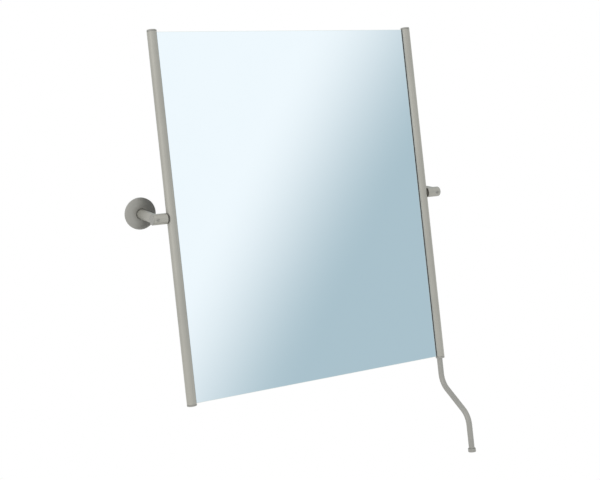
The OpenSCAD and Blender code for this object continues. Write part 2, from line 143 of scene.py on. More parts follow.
def tube_frame(side):
    """Axis of a side tube. Its +X points away from the glass."""
    turn = Matrix.Rotation(0 if side == RIGHT else math.pi, 4, "Z")
    return PANE @ Matrix.Translation((side * AXIS_X, 0, 0)) @ turn


def housing_frame(side):
    """Tilt axis, measured outward from the tube's axis. Its +Z points away from the glass."""
    return Matrix.Translation((side * AXIS_X, -REACH, 0)) @ Matrix.Rotation(side * math.pi / 2, 4, "Y")


def wall_frame(side):
    """Axis of an arm. Its +Z points out of the wall."""
    return Matrix.Translation((side * POST_X, 0, 0)) @ Matrix.Rotation(math.pi / 2, 4, "X")


TUBE_END = GLASS_H / 2
COLLAR = tube_frame(RIGHT) @ Matrix.Translation((0, 0, -TUBE_END - COLLAR_H))
LEVER = COLLAR @ Matrix.Translation((0, ROD_BACK, 0))
top = PANE @ Vector((AXIS_X, 0, TUBE_END))
print(f"top of the right tube's axis at y {top.y / MM:.1f}, z {top.z / MM:.1f} mm")

# %% [markdown]
# ## Turning and skinning
#
# Nearly every visible metal piece was turned on a lathe or cut from tube. Both are stacks of rings, so
# one helper joins rings of points into a skin, and another makes the rings by spinning an outline. An
# outline is a short list of corners with a radius for each: real edges are never knife sharp, and it is
# the small radius that catches the light. A ring may also be something else than a circle, such as the
# D of a plug or the hexagon of a screw's socket, as long as it has the same number of points.
#
# Smooth shading alone would bend the light over the flat faces next to each small radius. The Weighted
# Normal modifier lets the large faces decide instead, and is then baked into the mesh.

# %% Outlines
def arc(centre, radius, start, end, steps):
    """Points on an arc, with the angles in degrees."""
    angles = [math.radians(start + (end - start) * i / steps) for i in range(steps + 1)]
    return [(centre[0] + radius * math.cos(a), centre[1] + radius * math.sin(a)) for a in angles]


def rounded(corners, closed=False, steps=4):
    """An outline from (x, y, radius) corners. A corner with a radius becomes an arc."""
    outline = []
    for i, (x, y, radius) in enumerate(corners):
        if not radius or (not closed and i in (0, len(corners) - 1)):
            outline.append((x, y))
            continue
        here = Vector((x, y))
        back = (Vector(corners[i - 1][:2]) - here).normalized()
        onward = (Vector(corners[(i + 1) % len(corners)][:2]) - here).normalized()
        half = back.angle(onward) / 2
        centre = here + (back + onward).normalized() * radius / math.sin(half)
        first = here + back * radius / math.tan(half) - centre
        turn = first.angle_signed(here + onward * radius / math.tan(half) - centre)
        for step in range(steps + 1):
            spoke = first.copy()
            spoke.rotate(Matrix.Rotation(-turn * step / steps, 2))
            outline.append(tuple(centre + spoke))
    return outline


square = [(0, 0, 1), (4, 0, 1), (4, 4, 1), (0, 4, 1)]
print("outline of a rounded square:", len(rounded(square, closed=True)), "points")

# %% Rings and skins
AROUND, AROUND_SMALL = 96, 48
SHARP = math.radians(38)


def ring(radius, z, around=AROUND):
    """A ring of points, or one point where the radius is 0. A function of the angle also serves."""
    if radius == 0:
        return [(0, 0, z)]
    points = []
    for i in range(around):
        a = 2 * math.pi * i / around
        r = radius(a) if callable(radius) else radius
        points.append((r * math.cos(a), r * math.sin(a), z))
    return points


def spin(outline, around=AROUND):
    """The rings of an outline of (radius, z) points turned about Z."""
    return [ring(r, z, around) for r, z in outline]


def new_object(name, data):
    """An object in the scene around a mesh, a lamp or a camera."""
    thing = bpy.data.objects.new(name, data)
    bpy.context.scene.collection.objects.link(thing)
    return thing


def plain_mesh(thing, name):
    """The evaluated object as a plain mesh object, with no modifiers left."""
    graph = bpy.context.evaluated_depsgraph_get()
    mesh = bpy.data.meshes.new_from_object(thing.evaluated_get(graph))
    bpy.data.objects.remove(thing)
    mesh.name = name
    return new_object(name, mesh)


def settle(name, made, place):
    """Carries a bmesh to its place, turns its faces outward and makes it an object."""
    made.transform(place)
    bmesh.ops.recalc_face_normals(made, faces=made.faces)
    mesh = bpy.data.meshes.new(name)
    made.to_mesh(mesh)
    made.free()
    return new_object(name, mesh)


def shade(piece):
    """Smooth shading that keeps real edges, with the large faces leading."""
    piece.data.shade_smooth()
    piece.data.set_sharp_from_angle(angle=SHARP)
    weighted = piece.modifiers.new("Weighted", "WEIGHTED_NORMAL")
    weighted.keep_sharp = True
    return plain_mesh(piece, piece.name)


def skin(name, rings, place, loop=False):
    """A closed mesh over a stack of rings, carried to its place."""
    made = bmesh.new()
    stack = [[made.verts.new(p) for p in points] for points in rings]
    pairs = list(zip(stack, stack[1:]))
    if loop:
        pairs.append((stack[-1], stack[0]))
    for one, two in pairs:
        count = max(len(one), len(two))
        for i in range(count):
            j = (i + 1) % count
            corners = (one[i % len(one)], one[j % len(one)], two[j % len(two)], two[i % len(two)])
            made.faces.new(list(dict.fromkeys(corners)))
    if not loop:
        for end in (stack[0], stack[-1]):
            if len(end) > 2:
                made.faces.new(end)
    return shade(settle(name, made, place))


print("a turned piece has", AROUND, "points around, and a screw or a drill", AROUND_SMALL)


# %% Carry a piece on its body
WALL_BODY, PANE_BODY = "wall_arms", "tilting_mirror"


def carry(piece, body, slot, finish, *stands_for):
    """Gives a piece its finish and its body, and hides the solids that it stands for. The slot is not used."""
    if finish:
        piece.data.materials.clear()
        piece.data.materials.append(finish)
    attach(piece, body)
    if stands_for:
        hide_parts(*stands_for)
    print(piece.name, "with", len(piece.data.polygons), "faces rides on", body)


print("bodies:", WALL_BODY, "holds the arms and", PANE_BODY, "holds the pane and the lever")

# %% [markdown]
# ## Effects that several finishes share
#
# Three things happen to almost every surface of a fitting: the coat or skin has a grain, the edges are
# rubbed a little by handling and cleaning, and dust settles on what faces up. Each is a small node
# group with named inputs, built once. A group gives out only masks and heights. The shader that uses
# them stays in the material, where its own plain numbers sit on its own sockets.

# %% Node helpers
def group(name, inputs, outputs):
    """A shader group with float inputs (name, value) and float outputs."""
    tree = bpy.data.node_groups.new(name, "ShaderNodeTree")
    for label, value in inputs:
        socket = tree.interface.new_socket(label, in_out="INPUT", socket_type="NodeSocketFloat")
        socket.default_value = value
    for label in outputs:
        tree.interface.new_socket(label, in_out="OUTPUT", socket_type="NodeSocketFloat")
    return tree, tree.nodes.new("NodeGroupInput"), tree.nodes.new("NodeGroupOutput")


def feed(tree, node, inputs):
    """Fills a node's sockets, each with a plain value or with another node's output."""
    for key, value in inputs.items():
        if isinstance(value, bpy.types.NodeSocket):
            tree.links.new(value, node.inputs[key])
        else:
            node.inputs[key].default_value = value


def add(tree, kind, inputs=None, **values):
    """A node with what feeds it, and with its properties, such as operation="MULTIPLY"."""
    node = tree.nodes.new(kind)
    for key, value in values.items():
        setattr(node, key, value)
    feed(tree, node, inputs or {})
    return node


def math_node(tree, operation, first, second):
    """A Math node. Each operand is a number or an output."""
    return add(tree, "ShaderNodeMath", {0: first, 1: second}, operation=operation).outputs[0]


def noise(tree, vector, scale, detail=2.0):
    """A noise value over the given coordinates. The scale is cells to the metre."""
    inputs = {"Vector": vector, "Scale": scale, "Detail": detail}
    return add(tree, "ShaderNodeTexNoise", inputs).outputs["Fac"]


def ramp(tree, value, low, high, to_low=0.0, to_high=1.0):
    """Maps low..high to another range, smoothly and clamped."""
    inputs = {"Value": value, "From Min": low, "From Max": high, "To Min": to_low, "To Max": to_high}
    return add(tree, "ShaderNodeMapRange", inputs, interpolation_type="SMOOTHSTEP").outputs["Result"]


def object_coordinates(tree):
    """The piece's own coordinates, in metres."""
    return add(tree, "ShaderNodeTexCoord").outputs["Object"]


print("a node is added and fed in one call")


# %% Grain, worn edges and dust
COARSE_SHARE = 0.21
BEVEL_RAYS, EDGE_TURN = 6, (0.999, 0.93)
PATCHES_PER_METRE, PATCH_SPREAD = 160, (0.45, 0.7)
SPECKS_PER_METRE, SPECK_SPREAD, UPWARD = 320, (0.35, 0.75), (0.55, 1.0)


def build_grain():
    """Height of a sprayed or moulded skin, and a slow mottle over it."""
    inputs = [("Grains per metre", 1800), ("Mottle per metre", 9)]
    tree, into, out = group("Grain", inputs, ["Height", "Mottle"])
    where, grains = object_coordinates(tree), into.outputs["Grains per metre"]
    fine = noise(tree, where, grains, detail=1.0)
    coarse = noise(tree, where, math_node(tree, "MULTIPLY", grains, COARSE_SHARE))
    mottle = noise(tree, where, into.outputs["Mottle per metre"], detail=3.0)
    feed(tree, out, {"Height": math_node(tree, "ADD", fine, coarse), "Mottle": mottle})
    return tree


def build_wear():
    """Where an edge is rubbed: the rounded normal differs from the plain one, broken up by noise."""
    tree, into, out = group("Edge wear", [("Width", 0.0006), ("Amount", 0.3)], ["Mask"])
    soft = add(tree, "ShaderNodeBevel", {"Radius": into.outputs["Width"]}, samples=BEVEL_RAYS)
    plain = add(tree, "ShaderNodeNewGeometry")
    normals = {0: soft.outputs["Normal"], 1: plain.outputs["Normal"]}
    same = add(tree, "ShaderNodeVectorMath", normals, operation="DOT_PRODUCT")
    edge = ramp(tree, same.outputs["Value"], *EDGE_TURN)
    patches = noise(tree, object_coordinates(tree), PATCHES_PER_METRE, detail=4.0)
    rubbed = math_node(tree, "MULTIPLY", edge, ramp(tree, patches, *PATCH_SPREAD))
    feed(tree, out, {"Mask": math_node(tree, "MULTIPLY", rubbed, into.outputs["Amount"])})
    return tree


def build_dust():
    """A light film of dust on what faces up."""
    tree, into, out = group("Dust", [("Amount", 0.1)], ["Mask"])
    coordinates = add(tree, "ShaderNodeTexCoord")
    parts = add(tree, "ShaderNodeSeparateXYZ", {0: coordinates.outputs["Normal"]})
    up = ramp(tree, parts.outputs["Z"], *UPWARD)
    specks = noise(tree, coordinates.outputs["Object"], SPECKS_PER_METRE, detail=5.0)
    settled = math_node(tree, "MULTIPLY", up, ramp(tree, specks, *SPECK_SPREAD))
    feed(tree, out, {"Mask": math_node(tree, "MULTIPLY", settled, into.outputs["Amount"])})
    return tree


GRAIN, WEAR, DUST = build_grain(), build_wear(), build_dust()
print("shared groups:", ", ".join(g.name for g in (GRAIN, WEAR, DUST)))


# %% Material helpers
MIX_FIRST, MIX_SECOND, MIX_COLOUR = 6, 7, 2


def use(tree, shared, **values):
    """Places a shared group in a material with its own values."""
    inputs = {label.replace("_", " "): value for label, value in values.items()}
    return add(tree, "ShaderNodeGroup", inputs, node_tree=shared)


def new_finish(name):
    """An empty material with its Principled shader."""
    finish = bpy.data.materials.new(name)
    finish.use_nodes = True
    return finish, finish.node_tree, finish.node_tree.nodes["Principled BSDF"]


def blend_colours(tree, mask, first, second):
    """First colour where the mask is 0 and second where it is 1. Each is a colour or an output."""
    ends = [c if isinstance(c, bpy.types.NodeSocket) else (*c, 1) for c in (first, second)]
    inputs = {0: mask, MIX_FIRST: ends[0], MIX_SECOND: ends[1]}
    return add(tree, "ShaderNodeMix", inputs, data_type="RGBA").outputs[MIX_COLOUR]


def bump(tree, height, shader, relief):
    """Feeds a height into the shader's normal. The relief is in metres."""
    node = add(tree, "ShaderNodeBump", {"Height": height, "Strength": 1.0, "Distance": relief})
    feed(tree, shader, {"Normal": node.outputs["Normal"]})


FINE_RELIEF = 0.02 * MM
MOTTLE_SPREAD, UNEVEN_SPREAD = (0.3, 0.7), (0.25, 0.75)
UNEVEN, DUST_COLOUR, DUST_MATT = 0.03, (0.5, 0.49, 0.46), 0.5


def surface(name, light, dark, worn, rough, wear, dust, metallic=0.0, relief=FINE_RELIEF, **grain):
    """A finish with grain, slow mottle, rubbed edges and dust. Colours are linear."""
    finish, tree, shader = new_finish(name)
    skin_grain = use(tree, GRAIN, **grain)
    rubbed = use(tree, WEAR, Amount=wear)
    dusty = use(tree, DUST, Amount=dust)
    mottle = skin_grain.outputs["Mottle"]
    mottled = blend_colours(tree, ramp(tree, mottle, *MOTTLE_SPREAD), light, dark)
    handled = blend_colours(tree, rubbed.outputs["Mask"], mottled, worn)
    settled = blend_colours(tree, dusty.outputs["Mask"], handled, DUST_COLOUR)
    uneven = ramp(tree, mottle, *UNEVEN_SPREAD, rough - UNEVEN, rough + UNEVEN)
    matt = math_node(tree, "MULTIPLY", dusty.outputs["Mask"], DUST_MATT)
    feed(tree, shader, {"Base Color": settled, "Roughness": math_node(tree, "ADD", uneven, matt),
                        "Metallic": metallic})
    bump(tree, skin_grain.outputs["Height"], shader, relief)
    return finish


print("a finish is a Principled shader with grain, wear and dust feeding it")

# %% [markdown]
# ## The finishes
#
# The metal shares one satin, warm grey coat in two tones. The tubes, arms and pivot housings are a
# little lighter and warmer than the turned and spun pieces: the caps, the lever, the knob and the round
# covers on the wall. The coat is partly metallic because a round cover shows it: its left half is light
# and its right half dark, with a soft border, which is the light room and the dark back of the pane
# mirrored in a satin surface. That dark back is the safety film, whose dark grey is partly its own tone
# and partly painted shade that stands in for the shaded wall behind the pane. The washers between tube
# and arm are dark nylon and the glazing strips black rubber. The wall plates, inserts and plugs are zinc
# plated, and the bolts and springs are steel.

# %% Metal, nylon and rubber
COAT = surface("Satin grey coat", light=(0.432, 0.427, 0.386), dark=(0.408, 0.404, 0.366),
               worn=(0.6, 0.59, 0.56), rough=0.41, wear=0.35, dust=0.06, metallic=0.6)
TURNED_COAT = surface("Satin grey coat on turned parts", light=(0.372, 0.37, 0.343),
                      dark=(0.35, 0.348, 0.323), worn=(0.55, 0.545, 0.52), rough=0.41, wear=0.35,
                      dust=0.06, metallic=0.6)
NYLON = surface("Dark nylon", light=(0.105, 0.1, 0.088), dark=(0.12, 0.114, 0.1),
                worn=(0.18, 0.175, 0.16), rough=0.5, wear=0.5, dust=0.12, Grains_per_metre=2600)
RUBBER = surface("Glazing rubber", light=(0.018, 0.019, 0.02), dark=(0.028, 0.029, 0.03),
                 worn=(0.06, 0.06, 0.06), rough=0.62, wear=0.2, dust=0.25, Grains_per_metre=3200)
ZINC = surface("Zinc plate", light=(0.5, 0.515, 0.53), dark=(0.43, 0.445, 0.46),
               worn=(0.62, 0.62, 0.6), rough=0.4, wear=0.4, dust=0.15, metallic=1.0,
               Mottle_per_metre=240)
STEEL = surface("Bright steel", light=(0.62, 0.61, 0.59), dark=(0.55, 0.545, 0.53),
                worn=(0.75, 0.74, 0.72), rough=0.28, wear=0.4, dust=0.05, metallic=1.0,
                relief=0.006 * MM, Mottle_per_metre=120)
print("metal, nylon and rubber finishes made")

# %% [markdown]
# ## The silvered pane
#
# A mirror is float glass with silver and paint on its back. Seen from the front it is a metal mirror
# that is a little green and a little dimmer than the room, so it is built as one: a metallic face with
# next to no roughness. Along the free edges the silver stops short and the ground arris shows the
# glass itself, as a thin darker line. Cloth marks stay just visible as a change of roughness, never
# strong enough to break the picture that the mirror gives.

# %% Glass finishes
SCRATCHES_PER_METRE = 1400


def uneven_glass(name, per_metre, detail, spread, colours, rough):
    """A finish between two colours and two roughnesses, and its tree, shader and coordinates."""
    finish, tree, shader = new_finish(name)
    where = object_coordinates(tree)
    marks = ramp(tree, noise(tree, where, per_metre, detail), *spread)
    feed(tree, shader, {"Base Color": blend_colours(tree, marks, *colours),
                        "Roughness": ramp(tree, marks, 0.0, 1.0, *rough)})
    return finish, tree, shader, where


def silver_face():
    """The mirror seen through its glass."""
    finish, _, shader, _ = uneven_glass(
        "Silvered glass", per_metre=7, detail=4.0, spread=(0.4, 0.75),
        colours=((0.864, 0.946, 0.993), (0.858, 0.942, 0.989)), rough=(0.012, 0.03))
    shader.inputs["Metallic"].default_value = 1.0
    return finish


def ground_edge():
    """The ground arris and the rim of clear glass beyond the silver."""
    finish, tree, shader, where = uneven_glass(
        "Ground glass edge", per_metre=900, detail=3.0, spread=(0.35, 0.7),
        colours=((0.7, 0.79, 0.78), (0.82, 0.9, 0.89)), rough=(0.28, 0.42))
    bump(tree, noise(tree, where, SCRATCHES_PER_METRE), shader, relief=0.03 * MM)
    return finish


SILVER, GROUND = silver_face(), ground_edge()
PAINT = surface("Mirror back paint", light=(0.19, 0.195, 0.2), dark=(0.165, 0.17, 0.175),
                worn=(0.3, 0.3, 0.3), rough=0.55, wear=0.1, dust=0.1, relief=0.01 * MM)
print("pane finishes:", SILVER.name, GROUND.name, PAINT.name, sep=", ")

# %% [markdown]
# The pane itself is one bar of glass with four arrises. Its section has eight corners, and on its front
# two more points where the silver stops, and it is run from edge to edge. Doing it by hand, and not
# with a Bevel modifier, lets each strip of the section take its own material.

# %% Build the pane
RIM = 0.8 * MM
SILVERED, CLEAR, PAINTED = range(3)


def build_pane():
    """Glass with a silvered face, ground arrises, a clear rim at top and bottom, and a painted back."""
    front, back, end = -PANE_T / 2, -PANE_T / 2 + GLASS_T, GLASS_H / 2
    section = [(front, -end + ARRIS), (front, -end + RIM), (front, end - RIM), (front, end - ARRIS),
               (front + ARRIS, end), (back - ARRIS, end), (back, end - ARRIS), (back, -end + ARRIS),
               (back - ARRIS, -end), (front + ARRIS, -end)]
    strips = [CLEAR, SILVERED, CLEAR, CLEAR, CLEAR, CLEAR, PAINTED, CLEAR, CLEAR, CLEAR]
    made = bmesh.new()
    rows = [[made.verts.new((x, y, z)) for y, z in section] for x in (-GLASS_W / 2, GLASS_W / 2)]
    for i, finish in enumerate(strips):
        j = (i + 1) % len(section)
        strip = made.faces.new((rows[0][i], rows[0][j], rows[1][j], rows[1][i]))
        strip.material_index = finish
    for row in rows:
        made.faces.new(row).material_index = CLEAR
    pane = settle("mirror_pane", made, GLASS)
    for finish in (SILVER, GROUND, PAINT):
        pane.data.materials.append(finish)
    return pane


carry(build_pane(), PANE_BODY, "mirror_glass", None, "mirror_glass")

# %% [markdown]
# ## Safety film on the back
#
# A mirror that someone may fall against has a reinforced film on its back, which holds the pieces
# together if it breaks. Its threads make a fine raised net. The net follows a rule, a thread every few
# millimetres both ways, so Geometry Nodes lay it: a row of points for each direction, a thin bar on
# each point, and then everything realized and given its material. The sizes are inputs of the tree. The
# threads along stand a little higher than those across, so that no two faces lie in one plane where
# they cross.

# %% Film finishes
# The film's dark grey is partly its own tone and partly painted shade: it stands in for the shaded wall behind the
# pane, which the satin covers mirror.
FILM_WITH_PAINTED_SHADE = surface("Safety film", light=(0.16, 0.165, 0.17), dark=(0.135, 0.14, 0.145),
               worn=(0.22, 0.22, 0.22), rough=0.46, wear=0.15, dust=0.12, relief=0.03 * MM,
               Grains_per_metre=700)
THREAD = surface("Film threads", light=(0.25, 0.255, 0.26), dark=(0.215, 0.22, 0.225),
                 worn=(0.3, 0.3, 0.3), rough=0.5, wear=0.0, dust=0.12, relief=0.01 * MM,
                 Grains_per_metre=1500)
print("film finishes:", FILM_WITH_PAINTED_SHADE.name, THREAD.name, sep=", ")


# %% Geometry Nodes helpers
def node_tree(name, inputs):
    """A Geometry Nodes tree with named inputs. Returns the tree, its ends and the inputs' identifiers."""
    tree = bpy.data.node_groups.new(name, "GeometryNodeTree")
    tree.is_modifier = True
    named = {}
    for label, kind in inputs:
        named[label] = tree.interface.new_socket(label, in_out="INPUT", socket_type=kind).identifier
    tree.interface.new_socket("Geometry", in_out="OUTPUT", socket_type="NodeSocketGeometry")
    return tree, tree.nodes.new("NodeGroupInput"), tree.nodes.new("NodeGroupOutput"), named


def end_tree(tree, into, out, made):
    """The usual end of a tree: instances made real, and one material over them."""
    real = add(tree, "GeometryNodeRealizeInstances", {0: made}).outputs[0]
    inputs = {"Geometry": real, "Material": into.outputs["Material"]}
    feed(tree, out, {0: add(tree, "GeometryNodeSetMaterial", inputs).outputs[0]})


def run_tree(name, start, tree, named, values):
    """Runs a tree on a start mesh and returns the result as a plain mesh object."""
    holder = new_object(name, start)
    made = holder.modifiers.new("Made", "NODES")
    made.node_group = tree
    for label, value in values.items():
        made[named[label]] = value
    return plain_mesh(holder, name)


print("a tree ends in real geometry with one material")

# %% Lay the net of threads
NET_MARGIN, NET_PITCH, THREAD_W = 6 * MM, 6 * MM, 0.7 * MM
RISE_ACROSS, RISE_ALONG = 0.2 * MM, 0.26 * MM


def net_tree():
    """Threads across and along a sheet that is centred on the origin in X and Y."""
    lengths = ["Width", "Height", "Thread width", "Rise across", "Rise along"]
    inputs = [(label, "NodeSocketFloat") for label in lengths]
    inputs += [("Threads across", "NodeSocketInt"), ("Threads along", "NodeSocketInt"),
               ("Material", "NodeSocketMaterial")]
    tree, into, out, named = node_tree("Net of threads", inputs)
    joined = add(tree, "GeometryNodeJoinGeometry")
    plans = [("Height", "Threads across", 1, "Width", 0, "Rise across"),
             ("Width", "Threads along", 0, "Height", 1, "Rise along")]
    for span, count, row_axis, length, bar_axis, rise in plans:
        ends = [math_node(tree, "MULTIPLY", into.outputs[span], share) for share in (-0.5, 0.5)]
        start, finish = [add(tree, "ShaderNodeCombineXYZ", {row_axis: end}).outputs[0] for end in ends]
        inputs = {"Count": into.outputs[count], "Start Location": start, "Offset": finish}
        row = add(tree, "GeometryNodeMeshLine", inputs, mode="END_POINTS").outputs[0]
        inputs = {bar_axis: into.outputs[length], 1 - bar_axis: into.outputs["Thread width"],
                  2: into.outputs[rise]}
        size = add(tree, "ShaderNodeCombineXYZ", inputs).outputs[0]
        bar = add(tree, "GeometryNodeMeshCube", {"Size": size}).outputs["Mesh"]
        laid = add(tree, "GeometryNodeInstanceOnPoints", {"Points": row, "Instance": bar})
        feed(tree, joined, {0: laid.outputs[0]})
    end_tree(tree, into, out, joined.outputs[0])
    return tree, named


def lay_net():
    """The film's threads, half sunk in its outer face."""
    tree, named = net_tree()
    width, height = GLASS_W - 2 * NET_MARGIN, GLASS_H - 2 * NET_MARGIN
    net = run_tree("film_threads", bpy.data.meshes.new("empty"), tree, named, {
        "Width": width, "Height": height, "Threads across": round(height / NET_PITCH) + 1,
        "Threads along": round(width / NET_PITCH) + 1, "Thread width": THREAD_W,
        "Rise across": RISE_ACROSS, "Rise along": RISE_ALONG, "Material": THREAD})
    stand = Matrix.Rotation(math.pi / 2, 4, "X")
    net.data.transform(GLASS @ Matrix.Translation((0, PANE_T / 2, 0)) @ stand)
    return net


carry(lay_net(), PANE_BODY, "safety_film", None)

# %% [markdown]
# ## The slotted side tubes
#
# A side tube is drawn as a section and extruded: a round tube with a slot towards the glass and two
# cheeks that line the slot. The real edges of the slot are broken by a small radius, and that radius is
# what draws the fine line of light along the rubber, so the section is rounded before it is extruded.
# The holes for the pivot bolt and for the collar's screw are cut with the Boolean modifier afterwards.

# %% Draw the tube section
BORE_R, CHEEK_T, POCKET_X, GASKET_LIP = 8 * MM, 1.2 * MM, 3.2 * MM, 1.85 * MM
SLOT_HALF = PANE_T / 2 + GASKET_LIP
SLOT_EDGE, INNER_EDGE = 0.2 * MM, 0.15 * MM
OUTSIDE_STEPS, BORE_STEPS = 96, 64


def on_circle(radius, y):
    """The angle, in degrees, of the point on the slot's side of a circle at a height y."""
    return math.degrees(math.atan2(y, -math.sqrt(radius * radius - y * y)))


def tube_section():
    """Outline of the slotted tube, with its slot towards -X.

    The outside's points next to the slot are left out, which makes room for the edge's radius.
    """
    low, high = PANE_BACK - SLOT_HALF, PANE_BACK + SLOT_HALF
    outside = arc((0, 0), TUBE_R, on_circle(TUBE_R, high), on_circle(TUBE_R, low), OUTSIDE_STEPS)
    bore_start = on_circle(BORE_R, low - CHEEK_T)
    bore_end = math.degrees(math.acos(-POCKET_X / BORE_R))
    bore = arc((0, 0), BORE_R, bore_start, bore_end, BORE_STEPS)
    corners = [(*outside[0], SLOT_EDGE)] + [(x, y, 0) for x, y in outside[2:-2]]
    corners += [(*outside[-1], SLOT_EDGE)]
    corners += [(-POCKET_X, low, INNER_EDGE), (-POCKET_X, low - CHEEK_T, INNER_EDGE)]
    corners += [(x, y, 0) for x, y in bore] + [(-POCKET_X, high, INNER_EDGE)]
    return rounded(corners, closed=True)


SECTION = tube_section()
print("tube section with", len(SECTION), "points")


# %% Extrude and drill the tubes
BOLT_R, SCREW_R, COLLAR_SCREW_Z = 4 * MM, 2 * MM, 23 * MM


def drill_for(shank_r, place):
    """A rod along its own Z that drills the hole for a screw, with the screw's play."""
    rings = [ring(shank_r + PLAY, z, AROUND_SMALL) for z in (0, 2 * TUBE_R)]
    return skin("drill", rings, place)


def build_tube(side):
    """A side tube with its holes."""
    name = "side_tube_" + SIDES[side]
    frame_of = tube_frame(side)
    rows = [[(x, y, z) for x, y in SECTION] for z in (-TUBE_END, TUBE_END)]
    drills = [drill_for(BOLT_R, frame_of @ Matrix.Rotation(math.pi / 2, 4, "Y"))]
    if side == RIGHT:
        at_screw = frame_of @ Matrix.Translation((0, 0, COLLAR_SCREW_Z - TUBE_END))
        to_the_back = at_screw @ Matrix.Rotation(-math.pi / 2, 4, "X")
        drills.append(drill_for(SCREW_R, to_the_back))
    tube = skin(name + "_drawn", rows, frame_of)
    for drill in drills:
        hole = tube.modifiers.new("Hole", "BOOLEAN")
        hole.object = drill
        hole.solver = "EXACT"
    tube = shade(tube)
    for drill in drills:
        bpy.data.objects.remove(drill)
    carry(tube, PANE_BODY, "coated_metal", COAT, name)


for side in SIDES:
    build_tube(side)

# %% [markdown]
# ## Caps and collar
#
# The tube ends are closed by turned caps. Each cap is a rounded disc with a plug that has one flat, to
# pass the edge of the pane. A small groove under the disc gives the dark seam that shows between cap
# and tube. The lever's collar is the same idea upside down, with a seat for the rod.

# %% Turned pieces of the tubes
def d_shape(angle):
    """Radius of a plug with a flat on its -X side."""
    flat = -math.cos(angle)
    return min(PLUG_R, PLUG_FLAT / flat) if flat > 0 else PLUG_R


def plug(z_top, z_bottom):
    """The rings of a plug from one height to another."""
    return [ring(d_shape, z_top), ring(d_shape, z_bottom)]


SEAM, SEAM_DEPTH, SEAM_EDGE = 0.7 * MM, 1.0 * MM, 0.15 * MM
BROKEN_EDGE, SEAT_CHAMFER = 0.3 * MM, 0.2 * MM
cap_outline = rounded([(0, CAP_H, 0), (TUBE_R, CAP_H, CAP_ROUND), (TUBE_R, SEAM, SEAM_EDGE),
                       (TUBE_R - SEAM_DEPTH, SEAM, 0), (TUBE_R - SEAM_DEPTH, 0, 0)], steps=6)


def build_cap(name, side, upward):
    """A tube cap at the upper or lower end of a tube."""
    turn = Matrix.Identity(4) if upward else Matrix.Rotation(math.pi, 4, "X")
    place = tube_frame(side) @ turn @ Matrix.Translation((0, 0, TUBE_END))
    cap = skin(name + "_turned", spin(cap_outline) + plug(0, -PLUG_L), place)
    carry(cap, PANE_BODY, "coated_metal", TURNED_COAT, name)


build_cap("top_cap_left", LEFT, True)
build_cap("top_cap_right", RIGHT, True)
build_cap("bottom_cap_left", LEFT, False)

groove = COLLAR_H - SEAM
collar_outline = rounded([(0, 0, 0), (COLLAR_R, 0, KNOB_ROUND), (COLLAR_R, groove, BROKEN_EDGE),
                          (TUBE_R - SEAM_DEPTH, groove, 0), (TUBE_R - SEAM_DEPTH, COLLAR_H, 0)])


def seat_ring(z, chamfer=0.0):
    """A ring of the rod's seat, which is off the collar's own centre."""
    return [(x, y + ROD_BACK, z) for x, y, z in ring(ROD_R + PLAY + chamfer, z)]


collar_rings = [[(0, ROD_BACK, SEAT)], seat_ring(SEAT), seat_ring(SEAT_CHAMFER)]
collar_rings += [seat_ring(0, SEAT_CHAMFER)]
collar_rings += spin(collar_outline[1:]) + plug(COLLAR_H, COLLAR_H + COLLAR_PLUG_L)
collar = skin("lever_collar_turned", collar_rings, COLLAR)
carry(collar, PANE_BODY, "coated_metal", TURNED_COAT, "lever_collar")

# %% [markdown]
# ## The bent rod and its knob
#
# The lever is one round bar with two equal and opposite bends, so that the grip comes forward, clear of
# the wall, and runs on parallel to the tube. It is a circle that follows a path, which is what Curve to
# Mesh does: the path is a line of points, dense only in the bends, and the tree gives it its thickness.
# The knob on its lower end is turned again, a rounded disc with a seat for the rod.

# %% Sweep the rod
BEND_STEPS, ROD_SIDES = 20, 64


def rod_path():
    """Points of the rod's axis in the lever's frame, and the frame at its lower end."""
    points = [Vector((0, 0, SEAT)), Vector((0, 0, -ROD_TOP))]
    for i in range(1, BEND_STEPS + 1):
        a = BEND * i / BEND_STEPS
        points.append(Vector((0, BEND_R * (math.cos(a) - 1), -ROD_TOP - BEND_R * math.sin(a))))
    points.append(points[-1] + ROD_MID * Vector((0, -math.sin(BEND), -math.cos(BEND))))
    centre = points[-1] + BEND_R * Vector((0, math.cos(BEND), -math.sin(BEND)))
    for i in range(1, BEND_STEPS + 1):
        a = BEND * (1 - i / BEND_STEPS)
        points.append(centre + BEND_R * Vector((0, -math.cos(a), math.sin(a))))
    points.append(points[-1] - Vector((0, 0, ROD_GRIP)))
    return points, LEVER @ Matrix.Translation(points[-1])


def sweep_tree():
    """A round bar along a path of edges."""
    inputs = [("Geometry", "NodeSocketGeometry"), ("Radius", "NodeSocketFloat"),
              ("Sides", "NodeSocketInt"), ("Material", "NodeSocketMaterial")]
    tree, into, out, named = node_tree("Round bar on a path", inputs)
    path = add(tree, "GeometryNodeMeshToCurve", {"Mesh": into.outputs["Geometry"]}).outputs[0]
    inputs = {"Resolution": into.outputs["Sides"], "Radius": into.outputs["Radius"]}
    section = add(tree, "GeometryNodeCurvePrimitiveCircle", inputs).outputs[0]
    inputs = {"Curve": path, "Profile Curve": section, "Fill Caps": True}
    bar = add(tree, "GeometryNodeCurveToMesh", inputs)
    end_tree(tree, into, out, bar.outputs[0])
    return tree, named


path_points, ROD_END = rod_path()
path_mesh = bpy.data.meshes.new("rod_path")
path_edges = [(i, i + 1) for i in range(len(path_points) - 1)]
path_mesh.from_pydata([LEVER @ p for p in path_points], path_edges, [])
tree, named = sweep_tree()
rod = run_tree("lever_rod_swept", path_mesh, tree, named,
               {"Radius": ROD_R, "Sides": ROD_SIDES, "Material": TURNED_COAT})
carry(shade(rod), PANE_BODY, "coated_metal", TURNED_COAT, "lever_rod")

